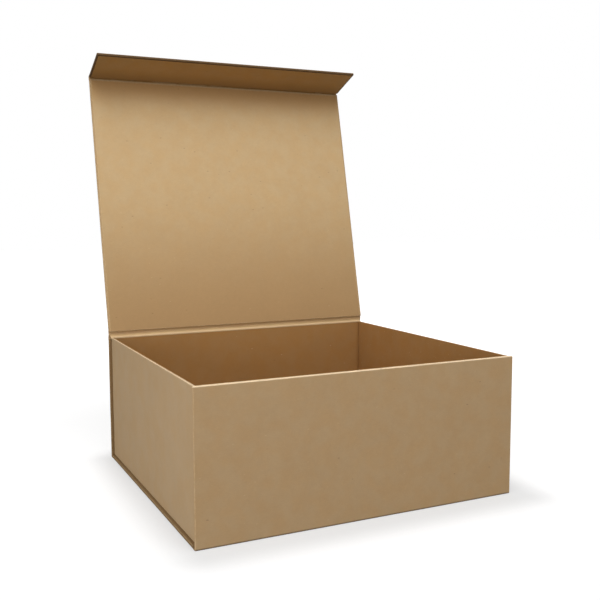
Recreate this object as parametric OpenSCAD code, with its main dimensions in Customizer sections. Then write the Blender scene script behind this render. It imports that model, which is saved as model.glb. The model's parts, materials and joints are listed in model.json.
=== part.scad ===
// Kraft hamper box with a hinged lid and a magnetic front flap.
// Rigid boards covered in kraft paper make a book-style case: front, base, back,
// lid and flap. A folded board tray is glued inside the case and holds the goods.
// The lid stands open and the flap is folded forward, as the box is shown for sale.
// X runs to the right, Y to the back and Z up. The origin is the middle of the
// footprint, on the table.

/* [Case] */
// Width of every case board, left to right
case_w = 350; // [260:1:460]
// Depth of the box, from its front face to its back face
case_d = 322; // [240:1:420]
// Height of the walls above the table
wall_h = 148; // [100:1:200]
// Thickness of one case board with its paper
board_t = 3; // [2.4:0.1:4]
// Length of the front flap
flap_len = 52; // [40:1:80]
// Open strip of paper beside the base board, at the front and back folds
fold_gap = 3; // [2:0.1:5]
// How far the back board stops below the top of the walls
back_drop = 2; // [1.5:0.1:4]
// Rounding of the board edges that the paper is turned round
edge_r = 0.8; // [0.3:0.1:1.1]

/* [Tray] */
// Thickness of the tray's folded board
tray_t = 2.2; // [1.6:0.1:3]
// Distance that the tray's sides are set in from the ends of the case boards
tray_inset = 3.2; // [1.5:0.1:6]
// Outer radius of the tray's upright corners
tray_corner_r = 1.4; // [0.5:0.1:1.6]
// Outer radius of the folds round the tray's floor
tray_fold_r = 1.2; // [0.5:0.1:1.5]

/* [Papers] */
// Thickness of the covering paper where it bridges two boards
wrap_t = 0.3; // [0.2:0.05:0.5]
// Thickness of the lining paper
lining_t = 0.25; // [0.15:0.05:0.4]
// Border of turned-in paper left bare round a lining sheet
lining_margin = 2; // [1:0.1:5]
// Gap round the lining sheet on the tray's floor
floor_margin = 1; // [0.5:0.1:4]

/* [Hinges] */
// Angle of the lid from closed, as it stands
lid_open = 103; // [60:1:120]
// Angle of the flap from straight, as it stands
flap_fold = 81; // [30:1:88]
// Distance of the lid's crease in front of the back face
crease_in = 1.5; // [0.8:0.1:2.5]
// Width of paper between the lid's crease and the lid board
lid_hinge_w = 3.2; // [2.6:0.1:5]
// Air left between the closed lid or flap and the walls
close_gap = 0.3; // [0.2:0.05:0.6]
// Air between the end of a hinge sheet and the board that it leads to
sheet_gap = 0.02; // [0.01:0.01:0.1]

/* [Magnets] */
// Diameter of the magnets and of their steel plates
magnet_d = 15; // [8:1:20]
// Thickness of the magnets and of their steel plates
magnet_t = 2; // [1:0.1:2.1]
// Distance of a magnet's centre from the nearer end of the flap
magnet_end = 70; // [30:1:120]
// Distance of a magnet's centre from the flap's free edge
magnet_edge = 18; // [12:1:20]
// Air round a magnet in its pocket
pocket_gap = 0.15; // [0.1:0.05:0.3]

/* [Hidden] */
$fn = 48;
KRAFT = [0.63, 0.51, 0.37];
KRAFT_SHADE = [0.56, 0.44, 0.30];
PAPER = [0.70, 0.58, 0.42];
LINING = [0.74, 0.63, 0.47];
STEEL = [0.62, 0.63, 0.65];
NICKEL = [0.78, 0.78, 0.80];

// How far a cutting shape reaches past what it cuts
past = 1;

// Planes of the case
front_y = -case_d / 2;
back_y = case_d / 2;
front_inner_y = front_y + board_t;
back_inner_y = back_y - board_t;
back_top_z = wall_h - back_drop;

// Tray, which stands on the base board between the front and back boards
tray_w = case_w - 2 * tray_inset;
tray_d = back_inner_y - front_inner_y;
tray_back_y = back_inner_y - tray_t;
tray_floor_z = board_t + tray_t;

// Closed height of the lid's outer face, and the crease that the lid turns on
lid_top_z = wall_h + close_gap + lining_t + board_t;
lid_crease = [back_y - crease_in, lid_top_z];

// The flap needs this much paper on each side of its crease to fold square,
// and its crease stands this far in front of the front face
flap_hinge_w = board_t + close_gap;
flap_crease_y = front_y - close_gap - lining_t - board_t;
lid_len = lid_crease[0] - lid_hinge_w - (flap_crease_y + flap_hinge_w);
flap_crease_d = lid_hinge_w + lid_len + flap_hinge_w;

// A magnet's place along the flap, and the same place on the closed front board
magnet_x = case_w / 2 - magnet_end;
magnet_d_flap = flap_hinge_w + flap_len - magnet_edge;
plate_z = lid_top_z - magnet_d_flap;

// The lining of the lid's hinge lies on the tray's back wall and bulges a little,
// by these shares of the back board's thickness and of the lid's height. The bulge
// is placed from the crease.
bulge_out = 0.2;
bulge_up = 0.55;
bulge = [back_inner_y + bulge_out * board_t, wall_h + bulge_up * (lid_top_z - wall_h)] - lid_crease;

// Geometry of thin sheets in the YZ plane

// Turns a point of a turned frame into the frame that holds it
function turned(p, angle) = [
    p[0] * cos(angle) - p[1] * sin(angle),
    p[0] * sin(angle) + p[1] * cos(angle)
];

// Unit vector to the left of the step from p to q
function left_normal(p, q) = [p[1] - q[1], q[0] - p[0]] / norm(q - p);

// Point i of a path moved sideways by gap, with mitred corners
function beside(path, i, gap) =
    let (last = len(path) - 1)
    let (before = left_normal(path[max(i - 1, 0)], path[max(i, 1)]))
    let (after = left_normal(path[min(i, last - 1)], path[min(i + 1, last)]))
    path[i] + gap * (before + after) / (1 + before * after);

// Outline of a sheet that lies between two distances to the left of a path
function sheet_outline(path, near, far) = concat(
    [for (i = [0 : len(path) - 1]) beside(path, i, near)],
    [for (i = [len(path) - 1 : -1 : 0]) beside(path, i, far)]
);

// Outer skin of the lid's hinge, from the lid board down to the back board, with
// the crease at the origin
function lid_hinge_path() = [
    turned([sheet_gap - lid_hinge_w, 0], -lid_open),
    [0, 0],
    [back_y, wall_h] - lid_crease,
    [back_y, back_top_z] - lid_crease
];

// Outer skin of the flap's hinge, from the flap board back to the lid board, with
// the crease at the origin
function flap_hinge_path() = [
    turned([sheet_gap - flap_hinge_w, 0], flap_fold),
    [0, 0],
    [flap_hinge_w - sheet_gap, 0]
];

// Shared shapes

// Draws a YZ outline across a width, centred on X
module across(width) {
    rotate([90, 0, 90])
        linear_extrude(width, center = true)
            children();
}

// Section of a board that has a square cut at both ends
module plain_section(length) {
    square([length, board_t]);
}

// Section of a board with a square cut at y = 0 and paper turned round its far end
module free_section(length) {
    flat = length - edge_r;
    square([flat, board_t]);
    translate([0, edge_r])
        square([length, board_t - 2 * edge_r]);
    for (z = [edge_r, board_t - edge_r])
        translate([flat, z])
            circle(edge_r);
}

// A rectangle with round corners, centred
module round_rectangle(size_x, size_y, corner_r) {
    square([size_x - 2 * corner_r, size_y], center = true);
    square([size_x, size_y - 2 * corner_r], center = true);
    for (x = [-1, 1], y = [-1, 1])
        translate([x * (size_x / 2 - corner_r), y * (size_y / 2 - corner_r)])
            circle(corner_r);
}

// A board that lies on z = 0 and runs along +Y, with paper turned round its left
// and right sides. Its section along Y is the child.
module board(length) {
    intersection() {
        across(case_w)
            children();
        translate([0, length, board_t / 2])
            rotate([90, 0, 0])
                linear_extrude(length)
                    round_rectangle(case_w, board_t, edge_r);
    }
}

// Stands a board up, with its outer face at y = -board_t
module upright() {
    rotate([90, 0, 0])
        children();
}

// The lid's crease, unturned
module at_lid_crease() {
    translate([0, lid_crease[0], lid_crease[1]])
        children();
}

// The lid's own frame: crease at the origin, lid to the front, outer face at z = 0
module lid_frame() {
    at_lid_crease()
        rotate([-lid_open, 0, 0])
            children();
}

// The flap's crease, turned with the lid
module at_flap_crease() {
    lid_frame()
        translate([0, -flap_crease_d, 0])
            children();
}

// The flap's own frame, laid out like the lid's
module flap_frame() {
    at_flap_crease()
        rotate([flap_fold, 0, 0])
            children();
}

// A lining sheet on the inner face of a hinged board
module hinged_lining(start, length) {
    translate([-case_w / 2 + lining_margin, -start - length + lining_margin, -board_t - lining_t])
        cube([case_w - 2 * lining_margin, length - 2 * lining_margin, lining_t]);
}

// Disc of a magnet or plate, or its pocket, with its open face at z = 0
module disc(gap = 0) {
    translate([0, 0, -magnet_t])
        cylinder(h = magnet_t, d = magnet_d + 2 * gap);
}

// Sets a disc in the flap's inner face, at one end
module in_flap(side) {
    flap_frame()
        translate([side * magnet_x, -magnet_d_flap, -board_t])
            rotate([180, 0, 0])
                children();
}

// Sets a disc in the front board's inner face, at one end
module in_front(side) {
    translate([side * magnet_x, front_inner_y, plate_z])
        rotate([-90, 0, 0])
            children();
}

// What the fold takes off a wall's lower edge, which runs along Y at x = 0
module fold_waste(length) {
    rotate([90, 0, 0])
        linear_extrude(length + 2 * past, center = true)
            difference() {
                translate([-tray_fold_r, -past])
                    square(tray_fold_r + past);
                translate([-tray_fold_r, tray_fold_r])
                    circle(tray_fold_r);
            }
}

// The tray, folded from one board: a floor and four walls
module tray() {
    color(KRAFT_SHADE)
        difference() {
            translate([0, 0, board_t])
                linear_extrude(wall_h - board_t)
                    round_rectangle(tray_w, tray_d, tray_corner_r);
            translate([-tray_w / 2 + tray_t, front_inner_y + tray_t, tray_floor_z])
                cube([tray_w - 2 * tray_t, tray_d - 2 * tray_t, wall_h]);
            for (turn = [0, 180])
                rotate(turn)
                    translate([tray_w / 2, 0, board_t])
                        fold_waste(tray_d);
            for (turn = [90, 270])
                rotate(turn)
                    translate([tray_d / 2, 0, board_t])
                        fold_waste(tray_w);
        }
}

// Lining sheet on the tray's floor
module floor_lining() {
    inner_w = tray_w - 2 * (tray_t + floor_margin);
    inner_d = tray_d - 2 * (tray_t + floor_margin);
    color(LINING)
        translate([-inner_w / 2, -inner_d / 2, tray_floor_z])
            cube([inner_w, inner_d, lining_t]);
}

// Base board, a fold's width short of the front and back boards
module base_board() {
    depth = tray_d - 2 * fold_gap;
    color(KRAFT)
        translate([0, -depth / 2, 0])
            board(depth) plain_section(depth);
}

// Front board, glued to the tray's front wall, with a pocket for each plate
module front_board() {
    color(KRAFT)
        difference() {
            translate([0, front_inner_y, 0])
                upright() board(wall_h) free_section(wall_h);
            for (side = [-1, 1])
                in_front(side) disc(pocket_gap);
        }
}

// Back board, glued to the tray's back wall
module back_board() {
    color(KRAFT)
        translate([0, back_y, 0])
            upright() board(back_top_z) plain_section(back_top_z);
}

// Paper strip that joins the base board to the front board
module front_fold_paper() {
    color(PAPER)
        translate([-case_w / 2, front_inner_y, 0])
            cube([case_w, fold_gap, wrap_t]);
}

// Paper strip that joins the base board to the back board
module back_fold_paper() {
    color(PAPER)
        translate([-case_w / 2, back_inner_y - fold_gap, 0])
            cube([case_w, fold_gap, wrap_t]);
}

// Lid board
module lid_board() {
    color(KRAFT)
        lid_frame()
            translate([0, -lid_hinge_w - lid_len, -board_t])
                board(lid_len) plain_section(lid_len);
}

// Lining sheet inside the lid
module lid_lining() {
    color(LINING)
        lid_frame() hinged_lining(lid_hinge_w, lid_len);
}

// Covering paper of the lid's hinge, creased once
module lid_hinge_paper() {
    color(PAPER)
        at_lid_crease()
            across(case_w)
                polygon(sheet_outline(lid_hinge_path(), 0, -wrap_t));
}

// Lining strip of the lid's hinge, from the lid's edge down to the tray's back wall
module lid_hinge_lining() {
    skin = lid_hinge_path();
    path = [
        beside(skin, 0, -wrap_t),
        beside(skin, 1, -wrap_t),
        bulge,
        [tray_back_y, wall_h] - lid_crease
    ];
    color(LINING)
        at_lid_crease()
            across(case_w - 2 * lining_margin)
                polygon(sheet_outline(path, 0, -lining_t));
}

// Flap board, with a pocket for each magnet in its inner face
module flap_board() {
    color(KRAFT)
        difference() {
            flap_frame()
                translate([0, -flap_hinge_w, -board_t])
                    rotate(180)
                        board(flap_len) free_section(flap_len);
            for (side = [-1, 1])
                in_flap(side) disc(pocket_gap);
        }
}

// Lining sheet inside the flap, over the magnets
module flap_lining() {
    color(LINING)
        flap_frame() hinged_lining(flap_hinge_w, flap_len);
}

// Covering paper of the flap's hinge, creased once
module flap_hinge_paper() {
    color(PAPER)
        at_flap_crease()
            across(case_w)
                polygon(sheet_outline(flap_hinge_path(), 0, -wrap_t));
}

// Lining strip of the flap's hinge, glued to the covering paper in the gutter
module flap_hinge_lining() {
    color(LINING)
        at_flap_crease()
            across(case_w - 2 * lining_margin)
                polygon(sheet_outline(flap_hinge_path(), -wrap_t, -wrap_t - lining_t));
}

// Magnets in the flap
module left_magnet() {
    color(NICKEL)
        in_flap(-1) disc();
}

module right_magnet() {
    color(NICKEL)
        in_flap(1) disc();
}

// Steel plates in the front board, which the magnets pull on
module left_plate() {
    color(STEEL)
        in_front(-1) disc();
}

module right_plate() {
    color(STEEL)
        in_front(1) disc();
}

tray();
floor_lining();
base_board();
front_board();
back_board();
front_fold_paper();
back_fold_paper();
lid_board();
lid_lining();
lid_hinge_paper();
lid_hinge_lining();
flap_board();
flap_lining();
flap_hinge_paper();
flap_hinge_lining();
left_magnet();
right_magnet();
left_plate();
right_plate();
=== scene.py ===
"""Looks of the kraft hamper box: a folded tray in a paper-wrapped case with a lid and a flap.

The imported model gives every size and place. Lengths are metres. X runs to the right, Y to the back
and Z up. A board's own frame has X across the box, Y along the board and Z out of its outer face.
"""

import json
import logging
import math
from dataclasses import dataclass, field, replace
from enum import Enum

import bmesh
import bpy
from mathutils import Euler, Matrix, Vector, noise


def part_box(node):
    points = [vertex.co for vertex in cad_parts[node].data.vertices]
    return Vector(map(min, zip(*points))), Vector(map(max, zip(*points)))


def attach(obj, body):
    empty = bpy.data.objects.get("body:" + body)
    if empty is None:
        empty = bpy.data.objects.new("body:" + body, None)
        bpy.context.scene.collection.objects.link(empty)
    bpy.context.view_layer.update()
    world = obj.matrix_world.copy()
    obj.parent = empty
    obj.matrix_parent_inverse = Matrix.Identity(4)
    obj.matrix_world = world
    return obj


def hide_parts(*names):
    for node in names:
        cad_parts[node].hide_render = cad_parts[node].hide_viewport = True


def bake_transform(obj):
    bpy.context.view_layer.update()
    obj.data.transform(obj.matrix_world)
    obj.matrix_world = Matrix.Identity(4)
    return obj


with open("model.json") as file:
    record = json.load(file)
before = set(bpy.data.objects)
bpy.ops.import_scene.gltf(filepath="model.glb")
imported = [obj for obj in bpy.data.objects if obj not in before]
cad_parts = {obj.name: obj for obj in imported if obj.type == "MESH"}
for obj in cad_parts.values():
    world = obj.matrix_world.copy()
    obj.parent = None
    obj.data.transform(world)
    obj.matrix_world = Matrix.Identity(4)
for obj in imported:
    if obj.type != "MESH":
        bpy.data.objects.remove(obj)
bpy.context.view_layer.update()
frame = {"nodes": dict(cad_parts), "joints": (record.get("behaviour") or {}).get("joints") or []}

LOG = logging.getLogger("hamper_box")

# Faces of the same sheet, kept this far apart so that neither hides the other
SKIN = 0.00003

# Starts the noise that unsettles edges and papers, which would otherwise start from the clock
NOISE_SEED = 20

Colour = tuple[int, int, int]
Socket = bpy.types.NodeSocket
Path = list[Vector]
GroupStart = tuple["NodeKit", dict[str, Socket], bpy.types.Node]


class Pattern(Enum):
    """Where a finish reads its place: the piece's own space, or the sheet's place before it bends."""

    OBJECT = "object"
    SHEET = "sheet_place"


class WearAndPaintedLight(Enum):
    """Where a finish's worn paper and painted light lie: along the edges of a board, or along the creases of
    a sheet.
    """

    EDGES = "edges"
    CREASES = "crease"


# Marks where painted shade darkens the paper: the tray's inner faces up to the inner half of its rim, and the
# lid hinge's groove
INSIDE_PAINTED_SHADE = "inside"

# How far below a board's outer face the paper turned round its edge begins, and is in full view; on some
# boards this paper takes painted shade
TURN_BEGINS = 0.0001
TURN_FULL = 0.0005

# Edges sharper than this keep a hard line in the shading
SHARP_ANGLE = math.radians(50)


def linear(colour: Colour) -> tuple[float, float, float, float]:
    """Turns a colour as it is seen into the shader's own scale.

    Args:
        colour: red, green and blue from 0 to 255.

    Returns:
        The same colour as linear values, with full alpha.
    """
    shares = [channel / 255 for channel in colour]
    curve = [s / 12.92 if s <= 0.04045 else ((s + 0.055) / 1.055) ** 2.4 for s in shares]
    return (curve[0], curve[1], curve[2], 1.0)


def warmer(colour: Colour) -> tuple[float, float, float, float]:
    """Gives the slightly redder tone of a paper's darker clouds."""
    red, green, blue = colour
    return linear((red, green - 3, blue - 6))


class NodeKit:
    """Adds shader nodes to one tree and links them."""

    def __init__(self, tree: bpy.types.NodeTree) -> None:
        """Keeps the tree that the nodes go into."""
        self.tree = tree

    def feed(self, socket: Socket, value: object) -> None:
        """Links a socket to an output, or sets it to a constant.

        Args:
            socket: the input to feed.
            value: an output socket, a number, a vector or a colour.
        """
        if isinstance(value, bpy.types.NodeSocket):
            self.tree.links.new(value, socket)
        else:
            socket.default_value = value

    def add(self, kind: str, inputs: dict | None = None, **settings: object) -> bpy.types.Node:
        """Adds one node.

        Args:
            kind: Blender's name of the node type.
            inputs: values or outputs by the input's name or number.
            settings: the node's own properties.

        Returns:
            The new node.
        """
        node = self.tree.nodes.new(kind)
        for name, value in settings.items():
            setattr(node, name, value)
        for key, value in (inputs or {}).items():
            self.feed(node.inputs[key], value)
        return node

    def math(self, operation: str, *values: object) -> Socket:
        """Adds a Math node on one to three values and returns its output."""
        node = self.add("ShaderNodeMath", dict(enumerate(values)), operation=operation)
        return node.outputs[0]

    def vector(self, operation: str, *values: object) -> Socket:
        """Adds a Vector Math node and returns its vector output."""
        node = self.add("ShaderNodeVectorMath", dict(enumerate(values)), operation=operation)
        return node.outputs[0]

    def ramp(self, value: Socket, low: float, high: float, start: float = 0.0, end: float = 1.0) -> Socket:
        """Maps a value smoothly from one range to another.

        Args:
            value: the value to map.
            low: the value that gives start.
            high: the value that gives end.
            start: result at low.
            end: result at high.

        Returns:
            The mapped value.
        """
        inputs = {0: value, 1: low, 2: high, 3: start, 4: end}
        node = self.add("ShaderNodeMapRange", inputs, interpolation_type="SMOOTHSTEP")
        return node.outputs[0]

    def mix(self, share: object, first: object, second: object) -> Socket:
        """Mixes two colours and returns the result."""
        inputs = {0: share, 6: first, 7: second}
        return self.add("ShaderNodeMix", inputs, data_type="RGBA").outputs[2]

    def noise(self, place: object, scale: float, detail: float, distortion: float = 0.0) -> Socket:
        """Adds a noise texture and returns its value."""
        inputs = {"Vector": place, "Scale": scale, "Detail": detail, "Distortion": distortion}
        return self.add("ShaderNodeTexNoise", inputs).outputs[0]


class EffectShop:
    """Builds each shared effect once, as a node group, and places it where a finish asks for it."""

    def __init__(self) -> None:
        """Builds the groups."""
        self.kraft = self.build_kraft()
        self.edges = self.build_edges()
        self.grind = self.build_grind()

    def start(self, name: str, inputs: dict[str, str], outputs: list[str]) -> GroupStart:
        """Starts a node group.

        Args:
            name: the group's name.
            inputs: the kind of each input by name, VECTOR or FLOAT.
            outputs: names of the outputs, which are all values.
        """
        group = bpy.data.node_groups.new(name, "ShaderNodeTree")
        kinds = {"VECTOR": "NodeSocketVector", "FLOAT": "NodeSocketFloat"}
        for label, kind in inputs.items():
            group.interface.new_socket(name=label, in_out="INPUT", socket_type=kinds[kind])
        for label in outputs:
            group.interface.new_socket(name=label, in_out="OUTPUT", socket_type="NodeSocketFloat")
        kit = NodeKit(group)
        entry = kit.add("NodeGroupInput")
        return kit, {label: entry.outputs[label] for label in inputs}, kit.add("NodeGroupOutput")

    def place(self, kit: NodeKit, group: bpy.types.NodeTree, inputs: dict[str, object]) -> bpy.types.Node:
        """Places a group in a material with its own values.

        Args:
            group: the group to place.
            inputs: the group's inputs by name.

        Returns:
            The group's node.
        """
        node = kit.add("ShaderNodeGroup", node_tree=group)
        for label, value in inputs.items():
            kit.feed(node.inputs[label], value)
        return node

    def build_kraft(self) -> bpy.types.NodeTree:
        """Builds kraft paper's clouds, fibres and flecks.

        Returns:
            The node group.
        """
        inputs = {"Place": "VECTOR", "Clouds": "FLOAT", "Fibres": "FLOAT"}
        outputs = ["Tone", "Warmth", "Dark Fleck", "Pale Fleck", "Height"]
        kit, given, result = self.start("kraft_paper", inputs, outputs)
        place = given["Place"]
        wide = kit.noise(place, 24.0, 3.0)
        blotch = kit.noise(place, 190.0, 4.0, 0.6)
        along = kit.vector("MULTIPLY", place, (0.16, 1.0, 1.0))
        across = kit.vector("MULTIPLY", place, (1.0, 0.22, 1.0))
        fibre_along = kit.noise(along, 2100.0, 2.0, 1.1)
        fibre_across = kit.noise(across, 1700.0, 2.0, 1.3)
        fibres = kit.math("MULTIPLY_ADD", fibre_along, 0.62, kit.math("MULTIPLY", fibre_across, 0.38))
        cloud = kit.math("MULTIPLY_ADD", wide, 0.55, kit.math("MULTIPLY", blotch, 0.45))
        cloud_part = kit.math("MULTIPLY", kit.math("SUBTRACT", cloud, 0.5), given["Clouds"])
        fibre_part = kit.math("MULTIPLY", kit.math("SUBTRACT", fibres, 0.5), given["Fibres"])
        tone = kit.math("ADD", 1.0, kit.math("ADD", cloud_part, fibre_part))
        kit.feed(result.inputs["Tone"], tone)
        kit.feed(result.inputs["Warmth"], kit.ramp(kit.noise(place, 55.0, 2.0), 0.3, 0.7))
        kit.feed(result.inputs["Dark Fleck"], self.flecks(kit, place, 150.0, 0.86))
        elsewhere = kit.vector("ADD", place, (0.37, 0.11, 0.23))
        kit.feed(result.inputs["Pale Fleck"], self.flecks(kit, elsewhere, 210.0, 0.84))
        height = kit.math("MULTIPLY_ADD", fibres, 0.7, kit.math("MULTIPLY", blotch, 0.3))
        kit.feed(result.inputs["Height"], height)
        return kit.tree

    def flecks(self, kit: NodeKit, place: Socket, per_metre: float, chosen: float) -> Socket:
        """Scatters short flecks of pulp.

        Args:
            place: where the pattern is read.
            per_metre: cells to a metre.
            chosen: cells with a random value above this have a fleck.

        Returns:
            The mask of the flecks.
        """
        slim = kit.vector("MULTIPLY", place, (0.45, 1.0, 1.0))
        cells = kit.add("ShaderNodeTexVoronoi", {"Vector": slim, "Scale": per_metre})
        pick = kit.add("ShaderNodeSeparateXYZ", {0: cells.outputs["Color"]})
        near = kit.ramp(cells.outputs["Distance"], 0.05, 0.11, 1.0, 0.0)
        return kit.math("MULTIPLY", near, kit.math("GREATER_THAN", pick.outputs[0], chosen))

    def build_edges(self) -> bpy.types.NodeTree:
        """Builds the masks of a board's edges, which take worn paper and, by finish, painted highlight or
        painted shade, and of its turned-in paper, which takes painted shade, from its half sizes.

        Returns:
            The node group.
        """
        inputs = {"Place": "VECTOR", "Half Size": "VECTOR", "Reach": "FLOAT"}
        kit, given, result = self.start("edge_wear_and_painted_light", inputs, ["Mask", "Turned In"])
        inside = kit.vector("SUBTRACT", given["Half Size"], kit.vector("ABSOLUTE", given["Place"]))
        parts = kit.add("ShaderNodeSeparateXYZ", {0: inside}).outputs
        total = kit.math("ADD", kit.math("ADD", parts[0], parts[1]), parts[2])
        least = kit.math("MINIMUM", kit.math("MINIMUM", parts[0], parts[1]), parts[2])
        most = kit.math("MAXIMUM", kit.math("MAXIMUM", parts[0], parts[1]), parts[2])
        from_edge = kit.math("SUBTRACT", kit.math("SUBTRACT", total, least), most)
        broken = kit.noise(given["Place"], 420.0, 3.0)
        reach = kit.math("MULTIPLY", given["Reach"], kit.ramp(broken, 0.35, 0.7, 0.35, 1.5))
        share = kit.math("DIVIDE", from_edge, reach)
        kit.feed(result.inputs["Mask"], kit.ramp(share, 0.25, 1.0, 1.0, 0.0))
        below = kit.vector("SUBTRACT", given["Half Size"], given["Place"])
        depth = kit.add("ShaderNodeSeparateXYZ", {0: below}).outputs[2]
        kit.feed(result.inputs["Turned In"], kit.ramp(depth, TURN_BEGINS, TURN_FULL))
        return kit.tree

    def build_grind(self) -> bpy.types.NodeTree:
        """Builds the fine marks of a ground and plated disc.

        Returns:
            The node group.
        """
        kit, given, result = self.start("fine_grind", {"Place": "VECTOR"}, ["Marks", "Height"])
        lines = kit.noise(kit.vector("MULTIPLY", given["Place"], (0.05, 1.0, 1.0)), 5200.0, 3.0)
        dull = kit.noise(given["Place"], 300.0, 3.0)
        marks = kit.math("MULTIPLY_ADD", lines, 0.5, kit.math("MULTIPLY", dull, 0.5))
        kit.feed(result.inputs["Marks"], marks)
        kit.feed(result.inputs["Height"], lines)
        return kit.tree


@dataclass(frozen=True)
class Bearing:
    """How a pattern lies on a piece: the piece's centre, its turn about X and its half sizes."""

    centre: Vector
    turn: float = 0.0
    half: Vector = Vector((1.0, 1.0, 1.0))

    def mapped(self, kit: NodeKit, pattern: Pattern) -> Socket:
        """Reads the place on the piece, centred and turned to lie along it.

        Args:
            pattern: where the place is read from.

        Returns:
            The place in the piece's own frame.
        """
        if pattern is Pattern.OBJECT:
            source = kit.add("ShaderNodeTexCoord").outputs["Object"]
        else:
            source = kit.add("ShaderNodeAttribute", attribute_name=pattern.value).outputs["Vector"]
        inputs = {"Vector": source, "Location": self.centre, "Rotation": Euler((self.turn, 0.0, 0.0))}
        return kit.add("ShaderNodeMapping", inputs, vector_type="TEXTURE").outputs[0]


@dataclass(frozen=True)
class PaintedEndLight:
    """Painted shade or painted highlight at one end of a board: its colour, and how far it fades in."""

    colour: Colour
    reach: float


@dataclass(frozen=True)
class PaperFinish:
    """Kraft paper on board: its colours, its clouds and fibres, its worn edges and creases, and the painted
    highlight and painted shade on its edges, creases, ends and inner faces.
    """

    label: str
    colour: Colour
    # Edge and crease colour: worn paper with painted highlight, and painted shade on the darker finishes;
    # pale flecks borrow it too
    wear_and_painted_light_colour: Colour
    fleck: Colour = (112, 84, 54)
    clouds: float = 0.16
    fibres: float = 0.22
    fleck_share: float = 0.35
    wear_and_painted_light_share: float = 0.55
    wear_and_painted_light_reach: float = 0.0012
    roughness: float = 0.78
    bump: float = 0.35
    # Painted shade on the tray's inner faces and in the hinge's groove
    inner: Colour | None = None
    # Painted shade on the paper turned round a board's edges, and how much of it shows
    turned_in_painted_shade: Colour = (118, 93, 60)
    turned_in_painted_shade_share: float = 0.0
    # Painted shade, and on the front a painted highlight, fading in from the board's two ends
    low_end: PaintedEndLight | None = None
    high_end: PaintedEndLight | None = None

    def material(
        self, name: str, shop: EffectShop, bearing: Bearing, pattern: Pattern, wear_and_painted_light_along: WearAndPaintedLight
    ) -> bpy.types.Material:
        """Makes the paper's material for one piece.

        Args:
            name: the piece's name.
            shop: where the shared effects come from.
            bearing: how the pattern lies on the piece.
            pattern: where the pattern's place is read from.
            wear_and_painted_light_along: what the worn paper and the painted light follow.

        Returns:
            The material.
        """
        material = bpy.data.materials.new(f"{self.label}_{name}")
        material.use_nodes = True
        kit = NodeKit(material.node_tree)
        shader = material.node_tree.nodes["Principled BSDF"]
        place = bearing.mapped(kit, pattern)
        paper = shop.place(kit, shop.kraft, {"Place": place, "Clouds": self.clouds, "Fibres": self.fibres})
        out = paper.outputs
        warm = kit.mix(out["Warmth"], linear(self.colour), warmer(self.colour))
        # Painted shade on the points of the inner-face mask
        if self.inner:
            inside = kit.add("ShaderNodeAttribute", attribute_name=INSIDE_PAINTED_SHADE).outputs["Fac"]
            warm = kit.mix(inside, warm, kit.mix(out["Warmth"], linear(self.inner), warmer(self.inner)))
        # Painted shade and painted highlight fading in from the board's ends
        for end, sign in ((self.low_end, -1.0), (self.high_end, 1.0)):
            if end:
                along = kit.add("ShaderNodeSeparateXYZ", {0: place}).outputs[1]
                from_end = kit.math("MULTIPLY_ADD", along, -sign, bearing.half.y)
                warm = kit.mix(kit.ramp(from_end, 0.0, end.reach, 1.0, 0.0), warm, linear(end.colour))
        toned = kit.vector("SCALE", warm)
        kit.feed(toned.node.inputs["Scale"], out["Tone"])
        dark = kit.mix(kit.math("MULTIPLY", out["Dark Fleck"], self.fleck_share), toned, linear(self.fleck))
        # Pale flecks of pulp borrow the edge colour
        pale = kit.mix(kit.math("MULTIPLY", out["Pale Fleck"], self.fleck_share), dark, linear(self.wear_and_painted_light_colour))
        if wear_and_painted_light_along is WearAndPaintedLight.EDGES:
            inputs = {"Place": place, "Half Size": bearing.half, "Reach": self.wear_and_painted_light_reach}
            masks = shop.place(kit, shop.edges, inputs).outputs
            wear_and_painted_light = masks["Mask"]
            # Painted shade on the paper turned round the board's edges
            if self.turned_in_painted_shade_share:
                share = kit.math("MULTIPLY", masks["Turned In"], self.turned_in_painted_shade_share)
                pale = kit.mix(share, pale, linear(self.turned_in_painted_shade))
        else:
            wear_and_painted_light = kit.add("ShaderNodeAttribute", attribute_name=wear_and_painted_light_along.value).outputs["Fac"]
            wear_and_painted_light = kit.math("MULTIPLY", wear_and_painted_light, kit.ramp(kit.noise(place, 260.0, 3.0), 0.35, 0.65, 0.4, 1.0))
        # Worn paper with painted highlight, and on the darker finishes painted shade, along the edges or the
        # creases
        colour = kit.mix(kit.math("MULTIPLY", wear_and_painted_light, self.wear_and_painted_light_share), pale, linear(self.wear_and_painted_light_colour))
        kit.feed(shader.inputs["Base Color"], colour)
        low, high = self.roughness - 0.06, self.roughness + 0.08
        kit.feed(shader.inputs["Roughness"], kit.ramp(out["Height"], 0.3, 0.7, low, high))
        kit.feed(shader.inputs["Specular IOR Level"], 0.15)
        bump = kit.add("ShaderNodeBump", {"Strength": self.bump, "Distance": 0.0001, "Height": out["Height"]})
        kit.feed(shader.inputs["Normal"], bump.outputs[0])
        return material


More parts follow.
